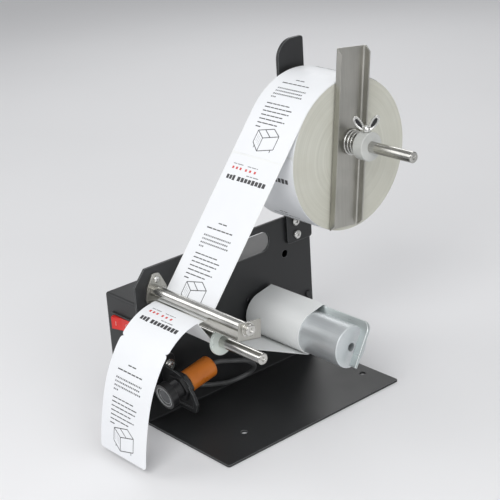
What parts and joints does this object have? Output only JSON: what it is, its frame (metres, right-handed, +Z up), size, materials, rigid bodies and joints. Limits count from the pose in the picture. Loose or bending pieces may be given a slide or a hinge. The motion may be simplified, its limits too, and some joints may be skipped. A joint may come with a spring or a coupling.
{
  "type": "label dispenser",
  "caption": "Desktop label dispenser: label roll on a spindle, peel blade with guide rods, photo sensor, and a motor-driven drum that winds up the liner.",
  "frame": {"origin": "centre of the base sheet's underside", "axes": "+X out from the side plate along the rods, +Y to the back, +Z up; the labels come off towards -Y"},
  "size_m": [0.1964, 0.3218, 0.3176],
  "materials": {
    "black_powder_coat": "fine satin powder coat",
    "chrome_rod": "polished",
    "zinc_hardware": "bright zinc",
    "stainless_sheet": "cold rolled",
    "motor_steel": "plated",
    "turned_aluminium": "satin turned",
    "label_paper": "smooth",
    "liner_paper": "glazed",
    "roll_paper": "wound edge",
    "core_card": "matte",
    "grey_plastic": "moulded",
    "clear_nylon": "translucent",
    "black_plastic": "moulded",
    "grey_lens": "satin",
    "orange_cap": "satin moulded",
    "red_rocker": "gloss",
    "board_green": "solder mask",
    "standoff_nylon": "moulded",
    "black_rubber": "matte"
  },
  "bodies": {
    "machine": {"chassis": "black_powder_coat", "housing": "black_powder_coat", "upright_arm": "black_powder_coat", "sensor_bracket": "black_powder_coat", "housing_screws": "black_powder_coat", "spindle": "chrome_rod", "upper_rod": "chrome_rod", "lower_rod": "chrome_rod", "rod_clip": "chrome_rod", "arm_screws": "zinc_hardware", "arm_nuts": "zinc_hardware", "spindle_washer": "zinc_hardware", "spindle_nut": "zinc_hardware", "peel_screws": "zinc_hardware", "peel_nuts": "zinc_hardware", "rod_screws": "zinc_hardware", "gearbox_screws": "zinc_hardware", "bracket_washer": "zinc_hardware", "bracket_screw": "zinc_hardware", "peel_bracket": "stainless_sheet", "gearbox": "motor_steel", "motor_can": "motor_steel", "web_labels": "label_paper", "peeled_label": "label_paper", "liner": "liner_paper", "liner_return": "liner_paper", "sensor_bezel": "black_plastic", "sensor_barrel": "black_plastic", "sensor_nuts": "black_plastic", "switch_bezel": "black_plastic", "power_jack": "black_plastic", "board_parts": "black_plastic", "sensor_lens": "grey_lens", "sensor_cap": "orange_cap", "control_board": "board_green", "board_standoffs": "standoff_nylon", "sensor_cable": "black_rubber", "cable_grommet": "black_rubber"},
    "supply_roll": {"roll_core": "core_card", "label_roll": "roll_paper"},
    "rewinder": {"drum": "turned_aluminium", "output_shaft": "zinc_hardware", "drum_screw": "zinc_hardware", "wound_liner": "liner_paper"},
    "clip": {"drum_clip": "turned_aluminium"},
    "stop_collar": {"collar": "grey_plastic", "retainer_spring": "zinc_hardware"},
    "wing": {"wing_screw": "zinc_hardware"},
    "retainer_plate": {"retainer": "stainless_sheet"},
    "switch_rocker": {"rocker": "red_rocker"},
    "disc": {"guide_disc": "clear_nylon"}
  },
  "joints": [
    {"name": "drum_turn", "type": "hinge", "parent": "machine", "child": "rewinder", "pos_m": [0.0055, 0.036, 0.0637], "axis": [1, 0, 0], "continuous": true, "deforming": ["liner_return"]},
    {"name": "supply_roll_turn", "type": "hinge", "parent": "machine", "child": "supply_roll", "pos_m": [-0.0135, 0.0893, 0.2192], "axis": [1, 0, 0], "continuous": true},
    {"name": "clip_slide", "type": "slide", "parent": "rewinder", "child": "clip", "axis": [1, 0, 0], "range_m": [0, 0.115]},
    {"name": "collar_slide", "type": "slide", "parent": "machine", "child": "stop_collar", "axis": [1, 0, 0], "range_m": [0, 0.045]},
    {"name": "wing_screw_turn", "type": "hinge", "parent": "stop_collar", "child": "wing", "pos_m": [0.0405, 0.0893, 0.247], "axis": [0, 0, 1], "continuous": true},
    {"name": "retainer_turn", "type": "hinge", "parent": "stop_collar", "child": "retainer_plate", "pos_m": [0.02, 0.0893, 0.2312], "axis": [1, 0, 0], "continuous": true},
    {"name": "rocker_tilt", "type": "hinge", "parent": "machine", "child": "switch_rocker", "pos_m": [-0.076, -0.1045, 0.0935], "axis": [0, 0, 1], "range_deg": [-22, 0]},
    {"name": "disc_slide", "type": "slide", "parent": "machine", "child": "disc", "axis": [1, 0, 0], "range_m": [0, 0.045]}
  ],
  "couplings": [
    {"joint": "supply_roll_turn", "follows": "drum_turn", "ratio": 0.29683}
  ]
}
